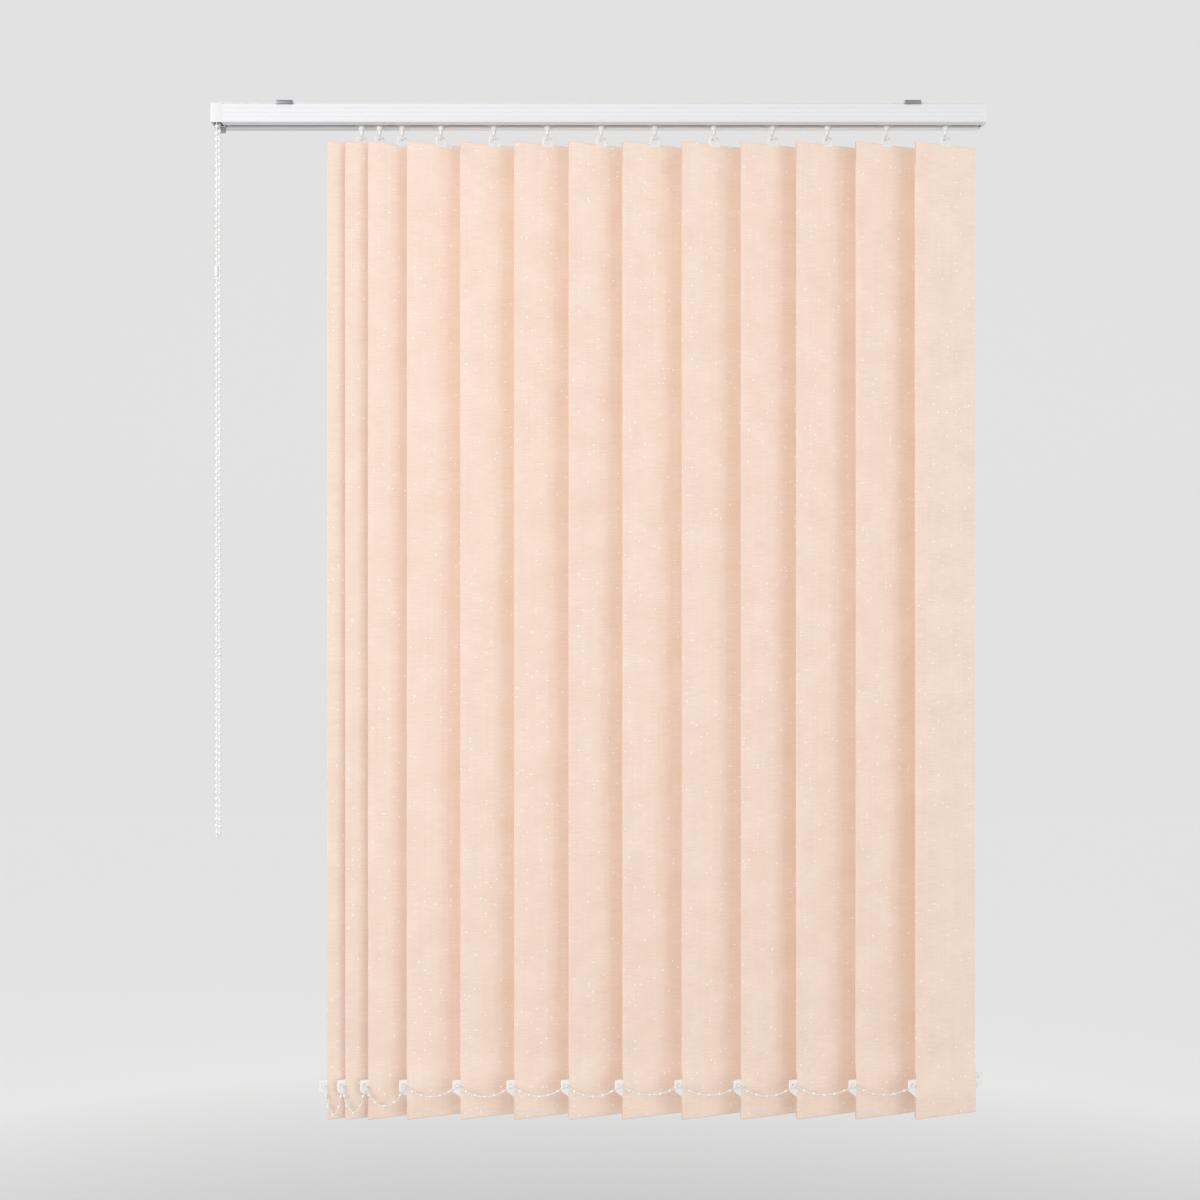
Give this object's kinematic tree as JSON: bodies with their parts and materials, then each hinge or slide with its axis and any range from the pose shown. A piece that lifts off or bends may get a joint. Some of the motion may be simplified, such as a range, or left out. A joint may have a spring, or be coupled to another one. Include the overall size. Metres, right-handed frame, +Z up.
{
  "type": "vertical blind",
  "caption": "Top-fixed vertical blind: slim headrail with sliding, turning carriers, hanging fabric vanes with bottom weights joined by fine bead chains, and a looped control chain.",
  "frame": {"origin": "middle of the headrail's length, on the plane that the brackets are screwed up against, over the vanes' turning axes", "axes": "+X along the headrail to the right seen from the room, -Y towards the room, +Z up"},
  "size_m": [0.9748, 0.047, 1.2763],
  "materials": {
    "rail_white": "satin white coating on aluminium",
    "cap_white": "smooth white moulding",
    "bracket_steel": "grey spring steel",
    "rod_aluminium": "plain extruded",
    "mechanism_plastic": "plain moulding",
    "chain_plastic": "moulded beads on cord",
    "guide_plastic": "grey translucent moulding",
    "fitting_plastic": "slightly translucent white moulding",
    "vane_fabric": "peach weave with fine glitter flecks and horizontal slubs"
  },
  "bodies": {
    "rail": {"headrail": "rail_white", "control_cap": "cap_white", "end_cap": "cap_white", "bracket_left": "bracket_steel", "bracket_right": "bracket_steel", "control_chain": "chain_plastic", "chain_connector": "cap_white", "chain_guide": "guide_plastic", "carrier_13": "mechanism_plastic"},
    "carrier_01_body": {"carrier_01": "mechanism_plastic"},
    "carrier_02_body": {"carrier_02": "mechanism_plastic"},
    "carrier_03_body": {"carrier_03": "mechanism_plastic"},
    "carrier_04_body": {"carrier_04": "mechanism_plastic"},
    "carrier_05_body": {"carrier_05": "mechanism_plastic"},
    "carrier_06_body": {"carrier_06": "mechanism_plastic"},
    "carrier_07_body": {"carrier_07": "mechanism_plastic"},
    "carrier_08_body": {"carrier_08": "mechanism_plastic"},
    "carrier_09_body": {"carrier_09": "mechanism_plastic"},
    "carrier_10_body": {"carrier_10": "mechanism_plastic"},
    "carrier_11_body": {"carrier_11": "mechanism_plastic"},
    "carrier_12_body": {"carrier_12": "mechanism_plastic"},
    "vane_01_body": {"vane_01": "vane_fabric", "fittings_01": "fitting_plastic"},
    "vane_02_body": {"vane_02": "vane_fabric", "fittings_02": "fitting_plastic"},
    "vane_03_body": {"vane_03": "vane_fabric", "fittings_03": "fitting_plastic"},
    "vane_04_body": {"vane_04": "vane_fabric", "fittings_04": "fitting_plastic"},
    "vane_05_body": {"vane_05": "vane_fabric", "fittings_05": "fitting_plastic"},
    "vane_06_body": {"vane_06": "vane_fabric", "fittings_06": "fitting_plastic"},
    "vane_07_body": {"vane_07": "vane_fabric", "fittings_07": "fitting_plastic"},
    "vane_08_body": {"vane_08": "vane_fabric", "fittings_08": "fitting_plastic"},
    "vane_09_body": {"vane_09": "vane_fabric", "fittings_09": "fitting_plastic"},
    "vane_10_body": {"vane_10": "vane_fabric", "fittings_10": "fitting_plastic"},
    "vane_11_body": {"vane_11": "vane_fabric", "fittings_11": "fitting_plastic"},
    "vane_12_body": {"vane_12": "vane_fabric", "fittings_12": "fitting_plastic"},
    "vane_13_body": {"vane_13": "vane_fabric", "fittings_13": "fitting_plastic"},
    "tilt_drive": {"tilt_rod": "rod_aluminium", "chain_wheel": "mechanism_plastic"},
    "front_chain_04_body": {"front_chain_04": "chain_plastic"},
    "front_chain_03_body": {"front_chain_03": "chain_plastic"},
    "front_chain_02_body": {"front_chain_02": "chain_plastic"},
    "front_chain_01_body": {"front_chain_01": "chain_plastic"},
    "rear_chain_04_body": {"rear_chain_04": "chain_plastic"},
    "rear_chain_03_body": {"rear_chain_03": "chain_plastic"},
    "rear_chain_02_body": {"rear_chain_02": "chain_plastic"},
    "rear_chain_01_body": {"rear_chain_01": "chain_plastic"}
  },
  "joints": [
    {"name": "tilt", "type": "hinge", "parent": "rail", "child": "vane_13_body", "pos_m": [0.4379, 0, -0.05], "axis": [0, 0, 1], "range_deg": [-8, 144]},
    {"name": "tilt_12", "type": "hinge", "parent": "carrier_12_body", "child": "vane_12_body", "pos_m": [0.3634, 0, -0.05], "axis": [0, 0, 1], "range_deg": [-8, 144]},
    {"name": "tilt_11", "type": "hinge", "parent": "carrier_11_body", "child": "vane_11_body", "pos_m": [0.2889, 0, -0.05], "axis": [0, 0, 1], "range_deg": [-8, 144]},
    {"name": "tilt_10", "type": "hinge", "parent": "carrier_10_body", "child": "vane_10_body", "pos_m": [0.2195, 0, -0.05], "axis": [0, 0, 1], "range_deg": [-8, 144]},
    {"name": "tilt_09", "type": "hinge", "parent": "carrier_09_body", "child": "vane_09_body", "pos_m": [0.1456, 0, -0.05], "axis": [0, 0, 1], "range_deg": [-8, 144]},
    {"name": "tilt_08", "type": "hinge", "parent": "carrier_08_body", "child": "vane_08_body", "pos_m": [0.0711, 0, -0.05], "axis": [0, 0, 1], "range_deg": [-8, 144]},
    {"name": "tilt_07", "type": "hinge", "parent": "carrier_07_body", "child": "vane_07_body", "pos_m": [0.0036, 0, -0.05], "axis": [0, 0, 1], "range_deg": [-8, 144]},
    {"name": "tilt_06", "type": "hinge", "parent": "carrier_06_body", "child": "vane_06_body", "pos_m": [-0.0646, 0, -0.05], "axis": [0, 0, 1], "range_deg": [-8, 144]},
    {"name": "tilt_05", "type": "hinge", "parent": "carrier_05_body", "child": "vane_05_body", "pos_m": [-0.1321, 0, -0.05], "axis": [0, 0, 1], "range_deg": [-8, 144]},
    {"name": "tilt_04", "type": "hinge", "parent": "carrier_04_body", "child": "vane_04_body", "pos_m": [-0.199, 0, -0.05], "axis": [0, 0, 1], "range_deg": [-8, 144]},
    {"name": "tilt_03", "type": "hinge", "parent": "carrier_03_body", "child": "vane_03_body", "pos_m": [-0.2477, 0, -0.05], "axis": [0, 0, 1], "range_deg": [-8, 144]},
    {"name": "tilt_02", "type": "hinge", "parent": "carrier_02_body", "child": "vane_02_body", "pos_m": [-0.2763, 0, -0.05], "axis": [0, 0, 1], "range_deg": [-8, 144]},
    {"name": "tilt_01", "type": "hinge", "parent": "carrier_01_body", "child": "vane_01_body", "pos_m": [-0.2988, 0, -0.05], "axis": [0, 0, 1], "range_deg": [-8, 144]},
    {"name": "rod_turn", "type": "hinge", "parent": "rail", "child": "tilt_drive", "pos_m": [0, -0.0085, -0.0145], "axis": [1, 0, 0], "range_deg": [-80, 1440]},
    {"name": "traverse", "type": "slide", "parent": "rail", "child": "carrier_04_body", "axis": [1, 0, 0], "range_m": [0, 0.4344], "deforming": ["front_chain_04", "rear_chain_04"]},
    {"name": "traverse_05", "type": "slide", "parent": "rail", "child": "carrier_05_body", "axis": [1, 0, 0], "range_m": [0, 0.39]},
    {"name": "traverse_06", "type": "slide", "parent": "rail", "child": "carrier_06_body", "axis": [1, 0, 0], "range_m": [0, 0.345]},
    {"name": "traverse_07", "type": "slide", "parent": "rail", "child": "carrier_07_body", "axis": [1, 0, 0], "range_m": [0, 0.2993]},
    {"name": "traverse_08", "type": "slide", "parent": "rail", "child": "carrier_08_body", "axis": [1, 0, 0], "range_m": [0, 0.2543]},
    {"name": "traverse_09", "type": "slide", "parent": "rail", "child": "carrier_09_body", "axis": [1, 0, 0], "range_m": [0, 0.2023]},
    {"name": "traverse_10", "type": "slide", "parent": "rail", "child": "carrier_10_body", "axis": [1, 0, 0], "range_m": [0, 0.1509]},
    {"name": "traverse_11", "type": "slide", "parent": "rail", "child": "carrier_11_body", "axis": [1, 0, 0], "range_m": [0, 0.104]},
    {"name": "traverse_12", "type": "slide", "parent": "rail", "child": "carrier_12_body", "axis": [1, 0, 0], "range_m": [0, 0.052]},
    {"name": "slide_03", "type": "slide", "parent": "carrier_04_body", "child": "carrier_03_body", "axis": [1, 0, 0], "range_m": [-0.0273, 0.0262], "deforming": ["front_chain_03", "rear_chain_03"]},
    {"name": "slide_02", "type": "slide", "parent": "carrier_03_body", "child": "carrier_02_body", "axis": [1, 0, 0], "range_m": [-0.0474, 0.0061], "deforming": ["front_chain_02", "rear_chain_02"]},
    {"name": "slide_01", "type": "slide", "parent": "carrier_02_body", "child": "carrier_01_body", "axis": [1, 0, 0], "range_m": [-0.0535, 0], "deforming": ["front_chain_01", "rear_chain_01"]},
    {"name": "front_chain_swivel", "type": "hinge", "parent": "vane_04_body", "child": "front_chain_04_body", "pos_m": [-0.2431, -0.02219, -1.2325], "axis": [0, 0, 1], "range_deg": [-144, 8]},
    {"name": "front_chain_slide_03", "type": "slide", "parent": "front_chain_04_body", "child": "front_chain_03_body", "axis": [1, 0, 0], "range_m": [-0.0273, 0.0262]},
    {"name": "front_chain_slide_02", "type": "slide", "parent": "front_chain_03_body", "child": "front_chain_02_body", "axis": [1, 0, 0], "range_m": [-0.0474, 0.0061]},
    {"name": "front_chain_slide_01", "type": "slide", "parent": "front_chain_02_body", "child": "front_chain_01_body", "axis": [1, 0, 0], "range_m": [-0.0535, 0]},
    {"name": "rear_chain_swivel", "type": "hinge", "parent": "vane_04_body", "child": "rear_chain_04_body", "pos_m": [-0.1549, 0.02219, -1.2325], "axis": [0, 0, 1], "range_deg": [-144, 8]},
    {"name": "rear_chain_slide_03", "type": "slide", "parent": "rear_chain_04_body", "child": "rear_chain_03_body", "axis": [1, 0, 0], "range_m": [-0.0273, 0.0262]},
    {"name": "rear_chain_slide_02", "type": "slide", "parent": "rear_chain_03_body", "child": "rear_chain_02_body", "axis": [1, 0, 0], "range_m": [-0.0474, 0.0061]},
    {"name": "rear_chain_slide_01", "type": "slide", "parent": "rear_chain_02_body", "child": "rear_chain_01_body", "axis": [1, 0, 0], "range_m": [-0.0535, 0]}
  ],
  "couplings": [
    {"joint": "tilt_12", "follows": "tilt", "ratio": 1},
    {"joint": "tilt_11", "follows": "tilt", "ratio": 1},
    {"joint": "tilt_10", "follows": "tilt", "ratio": 1},
    {"joint": "tilt_09", "follows": "tilt", "ratio": 1},
    {"joint": "tilt_08", "follows": "tilt", "ratio": 1},
    {"joint": "tilt_07", "follows": "tilt", "ratio": 1},
    {"joint": "tilt_06", "follows": "tilt", "ratio": 1},
    {"joint": "tilt_05", "follows": "tilt", "ratio": 1},
    {"joint": "tilt_04", "follows": "tilt", "ratio": 1},
    {"joint": "tilt_03", "follows": "tilt", "ratio": 1},
    {"joint": "tilt_02", "follows": "tilt", "ratio": 1},
    {"joint": "tilt_01", "follows": "tilt", "ratio": 1},
    {"joint": "rod_turn", "follows": "tilt", "ratio": 10},
    {"joint": "traverse_05", "follows": "traverse", "ratio": 0.89779},
    {"joint": "traverse_06", "follows": "traverse", "ratio": 0.79419},
    {"joint": "traverse_07", "follows": "traverse", "ratio": 0.68899},
    {"joint": "traverse_08", "follows": "traverse", "ratio": 0.5854},
    {"joint": "traverse_09", "follows": "traverse", "ratio": 0.4657},
    {"joint": "traverse_10", "follows": "traverse", "ratio": 0.34737},
    {"joint": "traverse_11", "follows": "traverse", "ratio": 0.23941},
    {"joint": "traverse_12", "follows": "traverse", "ratio": 0.1197},
    {"joint": "front_chain_swivel", "follows": "tilt", "ratio": -1},
    {"joint": "front_chain_slide_03", "follows": "slide_03", "ratio": 1},
    {"joint": "front_chain_slide_02", "follows": "slide_02", "ratio": 1},
    {"joint": "front_chain_slide_01", "follows": "slide_01", "ratio": 1},
    {"joint": "rear_chain_swivel", "follows": "tilt", "ratio": -1},
    {"joint": "rear_chain_slide_03", "follows": "slide_03", "ratio": 1},
    {"joint": "rear_chain_slide_02", "follows": "slide_02", "ratio": 1},
    {"joint": "rear_chain_slide_01", "follows": "slide_01", "ratio": 1}
  ]
}
